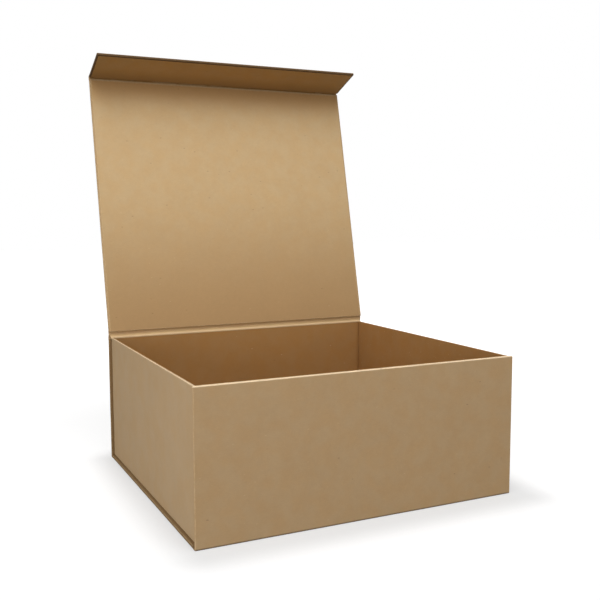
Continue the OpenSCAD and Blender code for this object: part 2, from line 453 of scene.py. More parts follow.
@dataclass(frozen=True)
class MetalFinish:
    """A plated or bare steel disc."""

    label: str
    colour: Colour
    roughness: float

    def material(self, name: str, shop: EffectShop, bearing: Bearing) -> bpy.types.Material:
        """Makes the metal's material for one disc.

        Args:
            name: the piece's name.
            shop: where the shared effects come from.
            bearing: how the pattern lies on the piece.

        Returns:
            The material.
        """
        material = bpy.data.materials.new(f"{self.label}_{name}")
        material.use_nodes = True
        kit = NodeKit(material.node_tree)
        shader = material.node_tree.nodes["Principled BSDF"]
        marks = shop.place(kit, shop.grind, {"Place": bearing.mapped(kit, Pattern.OBJECT)}).outputs
        shader.inputs["Metallic"].default_value = 1.0
        tone = kit.ramp(marks["Marks"], 0.2, 0.8, 0.82, 1.0)
        kit.feed(shader.inputs["Base Color"], kit.mix(tone, (0.2, 0.2, 0.2, 1.0), linear(self.colour)))
        low, high = self.roughness - 0.08, self.roughness + 0.14
        kit.feed(shader.inputs["Roughness"], kit.ramp(marks["Marks"], 0.3, 0.7, low, high))
        bump = kit.add("ShaderNodeBump", {"Strength": 0.15, "Distance": 0.00002, "Height": marks["Height"]})
        kit.feed(shader.inputs["Normal"], bump.outputs[0])
        return material


# Lighter edges: worn paper, partly a painted highlight
COVER = PaperFinish("cover_paper", colour=(194, 163, 123), wear_and_painted_light_colour=(220, 193, 155), wear_and_painted_light_share=0.3)
# Painted shade on the lid's turned-round edges and ends
LID_COVER = replace(COVER, label="lid_paper", turned_in_painted_shade=(150, 124, 86), turned_in_painted_shade_share=0.4)
# Painted shade on the base's and the back's ends, on the base's ledge beside the tray and on the back's inner
# face; their edges are painted darker too
DARK_EDGED_COVER = replace(
    COVER, label="dark_edged_paper", wear_and_painted_light_colour=(176, 148, 112), wear_and_painted_light_share=0.5, turned_in_painted_shade_share=0.85
)
# Painted shade, near black, on the flap's ends and inner face
FLAP_COVER = replace(
    COVER, label="flap_paper", wear_and_painted_light_share=0.0, turned_in_painted_shade=(82, 59, 34), turned_in_painted_shade_share=0.95
)
# Painted contact shadow at the front's foot and painted highlight along its top edge
FRONT_COVER = replace(
    COVER, label="front_paper", low_end=PaintedEndLight((62, 44, 29), 0.0024),
    high_end=PaintedEndLight((250, 226, 190), 0.0012),
)
LINING = PaperFinish("lining_paper", colour=(194, 166, 125), wear_and_painted_light_colour=(214, 189, 151), wear_and_painted_light_reach=0.0006)
# Painted shadow of the flap at the lid lining's top end, and painted shade deepening towards its foot
LID_LINING = replace(
    LINING, label="lid_lining_paper", low_end=PaintedEndLight((181, 142, 94), 0.04),
    high_end=PaintedEndLight((172, 139, 97), 0.188),
)
# Painted highlight with some worn paper on the crease at the tray's top edge, and painted shade in the
# hinge's groove
HINGE_LINING = replace(
    LINING, label="hinge_lining_paper", wear_and_painted_light_colour=(238, 210, 170), wear_and_painted_light_share=0.85, inner=(112, 80, 44)
)
# A shaded copy of the lining: painted shade over the flap's underside and edges, deepest next to its crease
FLAP_LINING = PaperFinish(
    "flap_lining_paper", colour=(168, 130, 80), wear_and_painted_light_colour=(140, 107, 64), wear_and_painted_light_reach=0.0006,
    high_end=PaintedEndLight((150, 113, 66), 0.03),
)
# Painted highlight with some worn paper along the tray's edges and rims, and painted shade on its inner faces
# and the inner half of its rim
TRAY_PAPER = PaperFinish(
    "tray_paper", colour=(194, 166, 129), wear_and_painted_light_colour=(236, 212, 176), wear_and_painted_light_share=0.7, wear_and_painted_light_reach=0.0010,
    inner=(162, 123, 77),
)
NICKEL = MetalFinish("nickel", colour=(205, 204, 200), roughness=0.24)
STEEL = MetalFinish("steel", colour=(170, 172, 175), roughness=0.38)


def turned_frame(origin: Vector, degrees: float) -> Matrix:
    """Gives a frame at a point, turned about X."""
    return Matrix.Translation(origin) @ Matrix.Rotation(math.radians(degrees), 4, "X")


def extent(node: str, place: Matrix) -> tuple[Vector, Vector]:
    """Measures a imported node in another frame.

    Args:
        node: the node's name.
        place: the frame to measure in.

    Returns:
        Its lowest and highest corners there.
    """
    inward = place.inverted()
    points = [inward @ vertex.co for vertex in frame["nodes"][node].data.vertices]
    low = Vector([min(point[axis] for point in points) for axis in range(3)])
    high = Vector([max(point[axis] for point in points) for axis in range(3)])
    return low, high


def joint(name: str) -> dict:
    """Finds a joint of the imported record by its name."""
    return next(row for row in frame["joints"] if row["name"] == name)


def slab(low: Vector, high: Vector) -> bmesh.types.BMesh:
    """Starts a mesh as a box.

    Args:
        low: the box's lowest corner.
        high: its highest corner.

    Returns:
        The mesh.
    """
    bm = bmesh.new()
    bmesh.ops.create_cube(bm, size=1.0)
    bmesh.ops.scale(bm, vec=high - low, verts=bm.verts[:])
    bmesh.ops.translate(bm, vec=(low + high) / 2, verts=bm.verts[:])
    return bm


def slice_evenly(bm: bmesh.types.BMesh, axis: int, spacing: float) -> None:
    """Cuts a mesh across one axis at even steps, so that it can take soft bends.

    Args:
        bm: the mesh to cut.
        axis: 0, 1 or 2 for X, Y or Z.
        spacing: about how far apart the cuts lie.
    """
    places = [vertex.co[axis] for vertex in bm.verts]
    low, high = min(places), max(places)
    count = max(1, round((high - low) / spacing))
    normal = Vector([float(axis == i) for i in range(3)])
    for index in range(1, count):
        at = normal * (low + (high - low) * index / count)
        geometry = bm.verts[:] + bm.edges[:] + bm.faces[:]
        bmesh.ops.bisect_plane(bm, geom=geometry, dist=1e-7, plane_co=at, plane_no=normal)


def unsettle(bm: bmesh.types.BMesh, amount: Vector, wave: float, seed: float) -> None:
    """Moves a mesh's points a little by smooth noise, so that no edge is ruler-straight.

    Args:
        bm: the mesh.
        amount: the furthest move along each axis.
        wave: length of the waves.
        seed: where in the noise the piece lies.
    """
    for vertex in bm.verts:
        shift = noise.noise_vector(vertex.co / wave + Vector((seed, seed * 0.7, -seed)))
        vertex.co += Vector([shift[axis] * amount[axis] for axis in range(3)])


def straight_edges(bm: bmesh.types.BMesh, axis: int) -> list[bmesh.types.BMEdge]:
    """Lists the edges that run along one axis.

    Args:
        bm: the mesh.
        axis: 0, 1 or 2 for X, Y or Z.

    Returns:
        The edges.
    """
    found = []
    for edge in bm.edges:
        run = (edge.verts[1].co - edge.verts[0].co).normalized()
        if abs(run[axis]) > 0.999:
            found.append(edge)
    return found


def round_edges(bm: bmesh.types.BMesh, edges: list[bmesh.types.BMEdge], radius: float, segments: int) -> None:
    """Rounds some edges of a mesh."""
    bmesh.ops.bevel(bm, geom=edges, offset=radius, offset_type="OFFSET", affect="EDGES", segments=segments,
                    profile=0.5, material=-1, clamp_overlap=True)


def make_piece(
    name: str, bm: bmesh.types.BMesh, material: bpy.types.Material, even: bool = True
) -> bpy.types.Object:
    """Turns a finished mesh into a piece at the origin.

    Args:
        name: the piece's name.
        bm: its closed mesh, in the shared frame.
        material: its material.
        even: whether flat faces keep their own shading beside rounded edges.

    Returns:
        The piece.
    """
    bmesh.ops.recalc_face_normals(bm, faces=bm.faces[:])
    # On the deep tray that step can take the cavity for the outside
    if bm.calc_volume(signed=True) < 0:
        bmesh.ops.reverse_faces(bm, faces=bm.faces[:])
    for face in bm.faces:
        face.smooth = True
    mesh = bpy.data.meshes.new(name)
    bm.to_mesh(mesh)
    bm.free()
    mesh.set_sharp_from_angle(angle=SHARP_ANGLE)
    mesh.materials.append(material)
    piece = bpy.data.objects.new(name, mesh)
    bpy.context.scene.collection.objects.link(piece)
    if even:
        modifier = piece.modifiers.new("even_shading", "WEIGHTED_NORMAL")
        modifier.keep_sharp = True
    return piece


def seat(piece: bpy.types.Object, body: str, node: str) -> None:
    """Makes a piece ride on a body and stand for a node.

    Args:
        piece: the piece.
        body: the body that it moves with.
        node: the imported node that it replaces.
    """
    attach(piece, body)
    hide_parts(node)
    LOG.info("%s rides on %s, %d faces", piece.name, body, len(piece.data.polygons))


@dataclass
class WrappedBoard:
    """One board of the case, with its paper turned round the edges."""

    name: str
    node: str
    body: str
    place: Matrix
    turn: float
    seed: float
    finish: PaperFinish = COVER
    foot_radius: float = 0.0
    edge_radius: float = 0.0008
    cut_spacing: float = 0.022
    wobble: float = 0.00010

    def build(self, shop: EffectShop) -> bpy.types.Object:
        """Builds the board from its node's box in its own frame.

        Args:
            shop: where the shared effects come from.

        Returns:
            The piece.
        """
        low, high = extent(self.node, self.place)
        bm = slab(low, high)
        if self.foot_radius:
            self.round_foot(bm, low.y, high.z)
        round_edges(bm, [edge for edge in bm.edges if edge.calc_face_angle() > 1.0], self.edge_radius, 3)
        slice_evenly(bm, 0, self.cut_spacing)
        slice_evenly(bm, 1, self.cut_spacing)
        unsettle(bm, Vector((self.wobble, self.wobble, self.wobble / 3)), 0.03, self.seed)
        bmesh.ops.transform(bm, matrix=self.place, verts=bm.verts[:])
        centre = self.place @ ((low + high) / 2)
        bearing = Bearing(centre, math.radians(self.turn), (high - low) / 2)
        material = self.finish.material(self.name, shop, bearing, Pattern.OBJECT, WearAndPaintedLight.EDGES)
        piece = make_piece(self.name, bm, material)
        seat(piece, self.body, self.node)
        return piece

    def round_foot(self, bm: bmesh.types.BMesh, foot: float, face: float) -> None:
        """Rounds the board's lower outer edge more than the others, as the covering paper turns under it.

        Args:
            bm: the board's mesh.
            foot: where its lower end lies, along the board.
            face: where its outer face lies.
        """
        edges = [edge for edge in straight_edges(bm, 0)
                 if all(abs(v.co.y - foot) < 1e-6 and abs(v.co.z - face) < 1e-6 for v in edge.verts)]
        round_edges(bm, edges, self.foot_radius, 5)

    def pocket(self, piece: bpy.types.Object, discs: list[str], air: float) -> None:
        """Cuts a pocket in the board for each disc that lies in it.

        Args:
            piece: the board.
            discs: nodes of the discs.
            air: room round a disc.
        """
        for disc in discs:
            low, high = extent(disc, self.place)
            centre = (low + high) / 2
            bm = bmesh.new()
            radius = (high.x - low.x) / 2 + air
            depth = high.z - low.z
            bmesh.ops.create_cone(
                bm, cap_ends=True, segments=48, radius1=radius, radius2=radius, depth=depth + air
            )
            bmesh.ops.translate(bm, vec=centre - Vector((0, 0, air / 2)), verts=bm.verts[:])
            bmesh.ops.transform(bm, matrix=self.place, verts=bm.verts[:])
            mesh = bpy.data.meshes.new("pocket")
            bm.to_mesh(mesh)
            bm.free()
            cutter = bpy.data.objects.new("pocket", mesh)
            bpy.context.scene.collection.objects.link(cutter)
            cut = piece.modifiers.new("pocket", "BOOLEAN")
            cut.operation = "DIFFERENCE"
            cut.solver = "EXACT"
            cut.object = cutter
            piece.modifiers.move(len(piece.modifiers) - 1, 0)
            graph = bpy.context.evaluated_depsgraph_get()
            piece.modifiers["even_shading"].show_viewport = False
            graph.update()
            piece.data = bpy.data.meshes.new_from_object(piece.evaluated_get(graph))
            piece.modifiers.remove(cut)
            piece.modifiers["even_shading"].show_viewport = True
            bpy.data.objects.remove(cutter)


@dataclass
class LiningSheet:
    """A thin sheet of lining paper glued to a flat face, with soft, not quite straight edges."""

    name: str
    node: str
    body: str
    place: Matrix
    turn: float
    seed: float
    finish: PaperFinish = LINING
    grow_high: float = 0.0
    cut_spacing: float = 0.012
    wobble: float = 0.00022

    def build(self, shop: EffectShop) -> bpy.types.Object:
        """Builds the sheet from its node's box in its own frame.

        Args:
            shop: where the shared effects come from.

        Returns:
            The piece.
        """
        low, high = extent(self.node, self.place)
        high.y += self.grow_high
        bm = slab(low, high)
        round_edges(bm, bm.edges[:], (high.z - low.z) * 0.4, 2)
        slice_evenly(bm, 0, self.cut_spacing)
        slice_evenly(bm, 1, self.cut_spacing)
        unsettle(bm, Vector((self.wobble, self.wobble, 0.0)), 0.02, self.seed)
        bmesh.ops.transform(bm, matrix=self.place, verts=bm.verts[:])
        bearing = Bearing(self.place @ ((low + high) / 2), math.radians(self.turn), (high - low) / 2)
        material = self.finish.material(self.name, shop, bearing, Pattern.OBJECT, WearAndPaintedLight.EDGES)
        piece = make_piece(self.name, bm, material)
        seat(piece, self.body, self.node)
        return piece


@dataclass
class MetalDisc:
    """A magnet or a steel plate with a broken rim."""

    name: str
    node: str
    body: str
    slot: str
    place: Matrix
    turn: float
    finish: MetalFinish
    rim: float = 0.0003

    def build(self, shop: EffectShop) -> bpy.types.Object:
        """Builds the disc from its node's box in its board's frame.

        Args:
            shop: where the shared effects come from.

        Returns:
            The piece.
        """
        low, high = extent(self.node, self.place)
        radius, depth = (high.x - low.x) / 2, high.z - low.z
        bm = bmesh.new()
        bmesh.ops.create_cone(bm, cap_ends=True, segments=64, radius1=radius, radius2=radius, depth=depth)
        rims = [edge for edge in bm.edges if max(len(face.verts) for face in edge.link_faces) > 4]
        round_edges(bm, rims, self.rim, 2)
        bmesh.ops.translate(bm, vec=(low + high) / 2, verts=bm.verts[:])
        bmesh.ops.transform(bm, matrix=self.place, verts=bm.verts[:])
        bearing = Bearing(self.place @ ((low + high) / 2), math.radians(self.turn))
        piece = make_piece(self.name, bm, self.finish.material(self.name, shop, bearing))
        seat(piece, self.body, self.node)
        return piece


@dataclass
class FoldedTray:
    """The tray: a floor and four walls folded from one board, with scored inner corners."""

    wall: float
    corner_radius: float = 0.0014
    fold_radius: float = 0.0012
    rim_radius: float = 0.0004
    inner_rim_radius: float = 0.0009
    score: float = 0.0012
    score_depth: float = 0.0011
    cut_spacing: float = 0.02
    wobble: float = 0.00012
    lean: float = 0.0019

    def build(self, shop: EffectShop) -> bpy.types.Object:
        """Builds the tray as one closed shell.

        Args:
            shop: where the shared effects come from.

        Returns:
            The piece.
        """
        low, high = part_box("tray")
        bm = slab(low, high)
        round_edges(bm, straight_edges(bm, 2), self.corner_radius, 5)
        foot = [edge for edge in bm.edges if all(abs(v.co.z - low.z) < 1e-6 for v in edge.verts)]
        round_edges(bm, foot, self.fold_radius, 4)
        top = [face for face in bm.faces if all(abs(v.co.z - high.z) < 1e-6 for v in face.verts)]
        bmesh.ops.delete(bm, geom=top, context="FACES_ONLY")
        outer_rim = [edge for edge in bm.edges if edge.is_boundary]
        inner_rim = self.add_cavity(bm, low, high)
        bmesh.ops.bridge_loops(bm, edges=outer_rim + inner_rim)
        for radius, outer in ((self.rim_radius, True), (self.inner_rim_radius, False)):
            rims = [edge for edge in bm.edges if self.on_rim(edge, low, high, outer)]
            round_edges(bm, rims, radius, 3)
        for axis in range(3):
            slice_evenly(bm, axis, self.cut_spacing)
        self.mark_inside_painted_shade(bm, low, high)
        unsettle(bm, Vector((self.wobble, self.wobble, self.wobble / 2)), 0.035, 3.1)
        self.lean_side(bm, low, high)
        bearing = Bearing((low + high) / 2, 0.0, (high - low) / 2)
        material = TRAY_PAPER.material("folded_tray", shop, bearing, Pattern.OBJECT, WearAndPaintedLight.EDGES)
        piece = make_piece("folded_tray", bm, material)
        seat(piece, "box", "tray")
        return piece

    def lean_side(self, bm: bmesh.types.BMesh, low: Vector, high: Vector) -> None:
        """Leans the left wall out towards its free top corner at the front, as the photograph shows.

        Args:
            bm: the tray's mesh.
            low: the tray's lowest corner.
            high: its highest corner.
        """
        for vertex in bm.verts:
            up = (vertex.co.z - low.z) / (high.z - low.z)
            forward = (high.y - vertex.co.y) / (high.y - low.y)
            across = max(0.0, 1.0 - (vertex.co.x - low.x) / (8 * self.wall))
            vertex.co.x -= self.lean * up * forward * across**2

    def mark_inside_painted_shade(self, bm: bmesh.types.BMesh, low: Vector, high: Vector) -> None:
        """Stores which points lie on the tray's inner faces, up to the inner half of the rim, where painted
        shade darkens the paper.

        Args:
            bm: the tray's mesh before it is bent.
            low: the tray's lowest corner.
            high: its highest corner.
        """
        inside = bm.verts.layers.float.new(INSIDE_PAINTED_SHADE)
        for vertex in bm.verts:
            from_side = min(vertex.co.x - low.x, high.x - vertex.co.x)
            from_end = min(vertex.co.y - low.y, high.y - vertex.co.y)
            vertex[inside] = float(min(from_side, from_end, vertex.co.z - low.z) > self.wall / 4)

    def on_rim(self, edge: bmesh.types.BMEdge, low: Vector, high: Vector, outer: bool) -> bool:
        """Tells whether an edge runs round the rim.

        Args:
            edge: the edge.
            low: the tray's lowest corner.
            high: its highest corner.
            outer: whether the outer or the inner edge of the rim is meant.

        Returns:
            True for an edge of that side of the rim.
        """
        if any(abs(vertex.co.z - high.z) > 1e-6 for vertex in edge.verts):
            return False
        if all(abs(face.normal.z) > 0.5 for face in edge.link_faces):
            return False
        middle = (edge.verts[0].co + edge.verts[1].co) / 2
        skin = min(middle.x - low.x, high.x - middle.x, middle.y - low.y, high.y - middle.y)
        return (skin < self.wall / 2) == outer

    def add_cavity(self, bm: bmesh.types.BMesh, low: Vector, high: Vector) -> list[bmesh.types.BMEdge]:
        """Adds the inner faces, with a scored groove down each corner.

        Args:
            bm: the tray's mesh so far.
            low: the tray's lowest corner.
            high: its highest corner.

        Returns:
            The edges of the cavity's rim.
        """
        inner_low = low + Vector((self.wall, self.wall, self.wall))
        inner_high = Vector((high.x - self.wall, high.y - self.wall, high.z))
        cavity = slab(inner_low, inner_high)
        for axis in (0, 1):
            for edge_place, sign in ((inner_low[axis], 1.0), (inner_high[axis], -1.0)):
                normal = Vector([float(axis == i) for i in range(3)])
                at = normal * (edge_place + sign * self.score)
                geometry = cavity.verts[:] + cavity.edges[:] + cavity.faces[:]
                bmesh.ops.bisect_plane(cavity, geom=geometry, dist=1e-7, plane_co=at, plane_no=normal)
        for vertex in cavity.verts:
            side_x = inner_low.x if vertex.co.x < 0 else inner_high.x
            side_y = inner_low.y if vertex.co.y < 0 else inner_high.y
            if abs(vertex.co.x - side_x) < 1e-6 and abs(vertex.co.y - side_y) < 1e-6:
                vertex.co.x += math.copysign(self.score_depth, side_x)
                vertex.co.y += math.copysign(self.score_depth, side_y)
        lid = [face for face in cavity.faces if all(abs(v.co.z - high.z) < 1e-6 for v in face.verts)]
        bmesh.ops.delete(cavity, geom=lid, context="FACES")
        bmesh.ops.reverse_faces(cavity, faces=cavity.faces[:])
        mesh = bpy.data.meshes.new("cavity")
        cavity.to_mesh(mesh)
        cavity.free()
        before = set(bm.edges)
        bm.from_mesh(mesh)
        bpy.data.meshes.remove(mesh)
        return [edge for edge in bm.edges if edge not in before and edge.is_boundary]


@dataclass
class PaperWeb:
    """A strip of paper that bridges two boards, drawn by its section and run across the box."""

    name: str
    node: str
    slot: str
    path: Path
    outside: Vector
    thickness: float
    half_width: float
    finish: PaperFinish
    creases: list[int] = field(default_factory=list)
    # Points of the section before this one lie in the groove and take painted shade
    groove_painted_shade_end: int = 0
    crease_radius: float = 0.0004
    crease_reach: float = 0.0012
    bend_radius: float = 0.0008
    step: float = 0.006
    ripple: float = 0.00012
    seed: float = 0.0

    def build(self, shop: EffectShop) -> bpy.types.Object:
        """Builds the strip and marks where its paper lies and where it is creased.

        Args:
            shop: where the shared effects come from.

        Returns:
            The piece, which rides on nothing yet.
        """
        bm = bmesh.new()
        left = [bm.verts.new((-self.half_width, point.y, point.z)) for point in self.path]
        wire = [bm.edges.new(pair) for pair in zip(left, left[1:])]
        steps = round(2 * self.half_width / self.step)
        move = Vector((2 * self.half_width / steps, 0.0, 0.0))
        bmesh.ops.spin(bm, geom=left + wire, cent=(0, 0, 0), axis=(1, 0, 0), dvec=move, angle=0.0,
                       steps=steps)
        self.round_bends(bm)
        self.thicken(bm)
        self.ruffle(bm)
        centre = sum(self.path, Vector()) / len(self.path)
        material = self.finish.material(self.name, shop, Bearing(centre), Pattern.SHEET, WearAndPaintedLight.CREASES)
        piece = make_piece(self.name, bm, material, even=False)
        self.mark(piece.data)
        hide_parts(self.node)
        LOG.info("%s, %d faces", piece.name, len(piece.data.polygons))
        return piece

    def round_bends(self, bm: bmesh.types.BMesh) -> None:
        """Rounds each bend of the section, the creases more tightly.

        Args:
            bm: the sheet's mesh.
        """
        for index in range(1, len(self.path) - 1):
            bend = self.path[index]
            edges = [edge for edge in straight_edges(bm, 0)
                     if (edge.verts[0].co - Vector((edge.verts[0].co.x, bend.y, bend.z))).length < 1e-6]
            reach = min((bend - self.path[index - 1]).length, (self.path[index + 1] - bend).length) * 0.45
            radius = self.crease_radius if index in self.creases else self.bend_radius
            round_edges(bm, edges, min(radius, reach), 3)

    def thicken(self, bm: bmesh.types.BMesh) -> None:
        """Gives the sheet its thickness, away from its outer side.

        Args:
            bm: the sheet's mesh.
        """
        bmesh.ops.recalc_face_normals(bm, faces=bm.faces[:])
        total = sum((face.normal * face.calc_area() for face in bm.faces), Vector())
        if total.dot(self.outside) < 0:
            bmesh.ops.reverse_faces(bm, faces=bm.faces[:])
        bmesh.ops.solidify(bm, geom=bm.faces[:], thickness=self.thickness)

    def ruffle(self, bm: bmesh.types.BMesh) -> None:
        """Ripples the paper between its glued ends.

        Args:
            bm: the sheet's mesh.
        """
        for vertex in bm.verts:
            share = self.along(vertex.co)
            hold = math.sin(math.pi * min(1.0, max(0.0, share)))
            shift = noise.noise_vector(Vector((vertex.co.x / 0.03, self.seed, share)))
            fine = noise.noise_vector(Vector((vertex.co.x / 0.009, self.seed + 5, share)))
            move = (shift + fine * 0.5) * self.ripple * hold
            vertex.co += Vector((0.0, move.y, move.z))

    def along(self, point: Vector) -> float:
        """Gives how far along the section a point lies.

        Args:
            point: the point.

        Returns:
            The share of the section's length, from 0 to 1.
        """
        lengths = [(b - a).length for a, b in zip(self.path, self.path[1:])]
        best, share, done = math.inf, 0.0, 0.0
        for a, b, length in zip(self.path, self.path[1:], lengths):
            flat = Vector((0.0, point.y, point.z))
            t = min(1.0, max(0.0, (flat - a).dot(b - a) / length**2))
            gap = (flat - a.lerp(b, t)).length
            if gap < best:
                best, share = gap, done + t * length
            done += length
        return share / sum(lengths)

    def mark(self, mesh: bpy.types.Mesh) -> None:
        """Stores the paper's place before it bends, its nearness to a crease, where worn paper and painted
        light go, and its part in a groove, which takes painted shade.

        Args:
            mesh: the sheet's finished mesh.
        """
        spots = [self.path[index] for index in self.creases]
        place = mesh.attributes.new(Pattern.SHEET.value, "FLOAT_VECTOR", "POINT")
        crease = mesh.attributes.new(WearAndPaintedLight.CREASES.value, "FLOAT", "POINT")
        groove = mesh.attributes.new(INSIDE_PAINTED_SHADE, "FLOAT", "POINT")
        limit = self.along(self.path[self.groove_painted_shade_end])
        for vertex in mesh.vertices:
            groove.data[vertex.index].value = float(self.along(vertex.co) < limit)
            place.data[vertex.index].vector = vertex.co
            flat = Vector((0.0, vertex.co.y, vertex.co.z))
            gap = min(((flat - spot).length for spot in spots), default=1.0)
            crease.data[vertex.index].value = max(0.0, 1.0 - gap / self.crease_reach)


def beside(path: Path, gap: float) -> Path:
    """Moves a section sideways, to the left of its run, with mitred corners.

    Args:
        path: the section's points in the YZ plane.
        gap: how far it moves.

    Returns:
        The moved points.
    """
    def left(a: Vector, b: Vector) -> Vector:
        """Gives the unit vector to the left of a step."""
        run = (b - a).normalized()
        return Vector((0.0, -run.z, run.y))

    last = len(path) - 1
    moved = []
    for index, point in enumerate(path):
        before = left(path[max(index - 1, 0)], path[max(index, 1)])
        after = left(path[min(index, last - 1)], path[min(index + 1, last)])
        moved.append(point + (before + after) * (gap / (1 + before.dot(after))))
    return moved


@dataclass
class Case:
    """The wrapped case: base, front, back, lid and flap boards and the papers between them."""

    lid_place: Matrix
    lid_turn: float
    flap_place: Matrix
    flap_turn: float
    pocket_air: float = 0.00015
    lap: float = 0.0012
    dip: float = 0.00035
    cover_paper: float = 0.0003
    lining_paper: float = 0.00025
    hinge_lap: float = 0.0017
    turn_down: float = 0.0010
    bulge: float = 0.0009
    front_foot: float = 0.0015
    lid_bend: float = 0.001
    flap_bend: float = 0.0008

    def boards(self) -> dict[str, WrappedBoard]:
        """Lists the five boards by their nodes.

        Returns:
            The boards, by the name of the node that each stands for.
        """
        upright = turned_frame(Vector(), 90.0)
        behind = turned_frame(Vector(), -90.0)
        under = turned_frame(Vector(), 180.0)
        rows = [
            WrappedBoard("wrapped_base", "base_board", "box", under, 180.0, 1.3, DARK_EDGED_COVER),
            WrappedBoard("wrapped_front", "front_board", "box", upright, 90.0, 2.7, FRONT_COVER,
                         self.front_foot),
            WrappedBoard("wrapped_back", "back_board", "box", behind, -90.0, 4.9, DARK_EDGED_COVER),
            WrappedBoard("wrapped_lid", "lid_board", "lid", self.lid_place, self.lid_turn, 6.1, LID_COVER),
            WrappedBoard("wrapped_flap", "flap_board", "flap", self.flap_place, self.flap_turn, 8.3,
                         FLAP_COVER),
        ]
        return {row.node: row for row in rows}

    def build(self, shop: EffectShop) -> None:
        """Builds every board, sheet, hinge and disc of the case.

        Args:
            shop: where the shared effects come from.
        """
        boards = self.boards()
        pieces = {node: board.build(shop) for node, board in boards.items()}
        boards["front_board"].pocket(pieces["front_board"], ["left_plate", "right_plate"], self.pocket_air)
        boards["flap_board"].pocket(pieces["flap_board"], ["left_magnet", "right_magnet"], self.pocket_air)
        for carrier, kind, slot, finish in (
            (boards["front_board"], "plate", "plate_steel", STEEL),
            (boards["flap_board"], "magnet", "magnet_nickel", NICKEL),
        ):
            for side in ("left", "right"):
                name = f"{side}_{kind}"
                disc = MetalDisc(
                    f"{name}_disc", name, carrier.body, slot, carrier.place, carrier.turn, finish
                )
                disc.build(shop)
        LiningSheet(
            "lid_sheet", "lid_lining", "lid", self.lid_place, self.lid_turn, 1.7, LID_LINING, self.hinge_lap
        ).build(shop)
        LiningSheet(
            "flap_sheet", "flap_lining", "flap", self.flap_place, self.flap_turn, 2.9, FLAP_LINING,
            self.hinge_lap,
        ).build(shop)
        self.build_folds(shop)
        self.build_lid_hinge(shop)
        self.build_flap_hinge(shop)

    def build_folds(self, shop: EffectShop) -> None:
        """Builds the paper at the base's two folds, which dips into the gap between the boards.

        Args:
            shop: where the shared effects come from.
        """
        for name, node in (("front_fold_strip", "front_fold_paper"), ("back_fold_strip", "back_fold_paper")):
            low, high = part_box(node)
            tuck = self.lap / 4
            path = [
                Vector((0, low.y - tuck, 0)),
                Vector((0, (low.y + high.y) / 2, self.dip)),
                Vector((0, high.y + tuck, 0)),
            ]
            web = PaperWeb(name, node, "kraft_paper", path, Vector((0, 0, -1)), high.z - low.z, high.x, COVER,
                           bend_radius=0.002, ripple=0.0, seed=low.y)
            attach(web.build(shop), "box")

    def build_lid_hinge(self, shop: EffectShop) -> None:
        """Builds the lid's covering paper and its lining, which bend between the box and the lid.

        Args:
            shop: where the shared effects come from.
        """
        crease = self.lid_place.to_translation()
        board_low, board_high = extent("lid_board", self.lid_place)
        gap, board = -board_high.y, board_high.z - board_low.z
        back_low, back_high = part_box("back_board")
        tray_low, tray_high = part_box("tray")
        skin = [
            self.lid_place @ Vector((0, -gap - self.lap, SKIN)),
            self.lid_place @ Vector((0, -gap + self.lap / 8, -SKIN)),
            self.lid_place @ Vector((0, -gap / 2, -self.dip)),
            crease.copy(),
            Vector((0, back_high.y, tray_high.z)),
            Vector((0, back_high.y, back_high.z)),
            Vector((0, back_high.y + SKIN, back_high.z - self.lap)),
        ]
        half = board_high.x
        cover = PaperWeb("lid_hinge_cover", "lid_hinge_paper", "kraft_paper", skin, Vector((0, 1, 0)),
                         self.cover_paper, half, COVER, creases=[3], seed=11.0)
        inner = beside(skin[2:5], -self.cover_paper)
        tray_back = tray_high.y - wall_thickness()
        face = self.lining_paper
        path = [
            self.lid_place @ Vector((0, -gap + SKIN + face, -board + face)),
            self.lid_place @ Vector((0, -gap + SKIN + face, -self.cover_paper - self.dip / 2)),
            inner[0],
            inner[1],
            Vector((0, crease.y - self.bulge, tray_high.z + self.bulge * 2)),
            Vector((0, tray_back - face - SKIN, tray_high.z + self.bulge)),
            Vector((0, tray_back - face - SKIN, tray_high.z - self.turn_down)),
        ]
        lining_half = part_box("lid_hinge_lining")[1].x
        lining = PaperWeb("lid_hinge_sheet", "lid_hinge_lining", "kraft_lining", path, Vector((0, -1, 1)),
                          face, lining_half, HINGE_LINING, creases=[5], groove_painted_shade_end=3, seed=17.0,
                          ripple=0.0003)
        for web in (cover, lining):
            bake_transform(web.build(shop))

    def build_flap_hinge(self, shop: EffectShop) -> None:
        """Builds the flap's covering paper and its lining, which bend between the lid and the flap.

        Args:
            shop: where the shared effects come from.
        """
        crease = self.flap_place.to_translation()
        on_lid = turned_frame(crease, self.lid_turn)
        lid_low, lid_high = extent("lid_board", on_lid)
        flap_low, flap_high = extent("flap_board", self.flap_place)
        gap, board = lid_low.y, lid_high.z - lid_low.z
        skin = [
            on_lid @ Vector((0, gap + self.lap, SKIN)),
            on_lid @ Vector((0, gap - self.lap / 8, -SKIN)),
            on_lid @ Vector((0, gap / 2, -self.dip)),
            crease.copy(),
            self.flap_place @ Vector((0, -gap / 2, -self.dip)),
            self.flap_place @ Vector((0, -gap + self.lap / 8, -SKIN)),
            self.flap_place @ Vector((0, -gap - self.lap, SKIN)),
        ]
        outward = on_lid.to_3x3() @ Vector((0, 0, 1)) + self.flap_place.to_3x3() @ Vector((0, 0, 1))
        cover = PaperWeb("flap_hinge_cover", "flap_hinge_paper", "kraft_paper", skin, outward,
                         self.cover_paper, lid_high.x, COVER, creases=[3], seed=23.0)
        inner = beside(skin[2:5], self.cover_paper)
        face = self.lining_paper
        path = [
            on_lid @ Vector((0, gap - SKIN - face, -board + face)),
            on_lid @ Vector((0, gap - SKIN - face, -self.cover_paper - self.dip / 2)),
            *inner,
            self.flap_place @ Vector((0, -gap + SKIN + face, -self.cover_paper - self.dip / 2)),
            self.flap_place @ Vector((0, -gap + SKIN + face, -board + face)),
        ]
        lining_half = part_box("flap_hinge_lining")[1].x
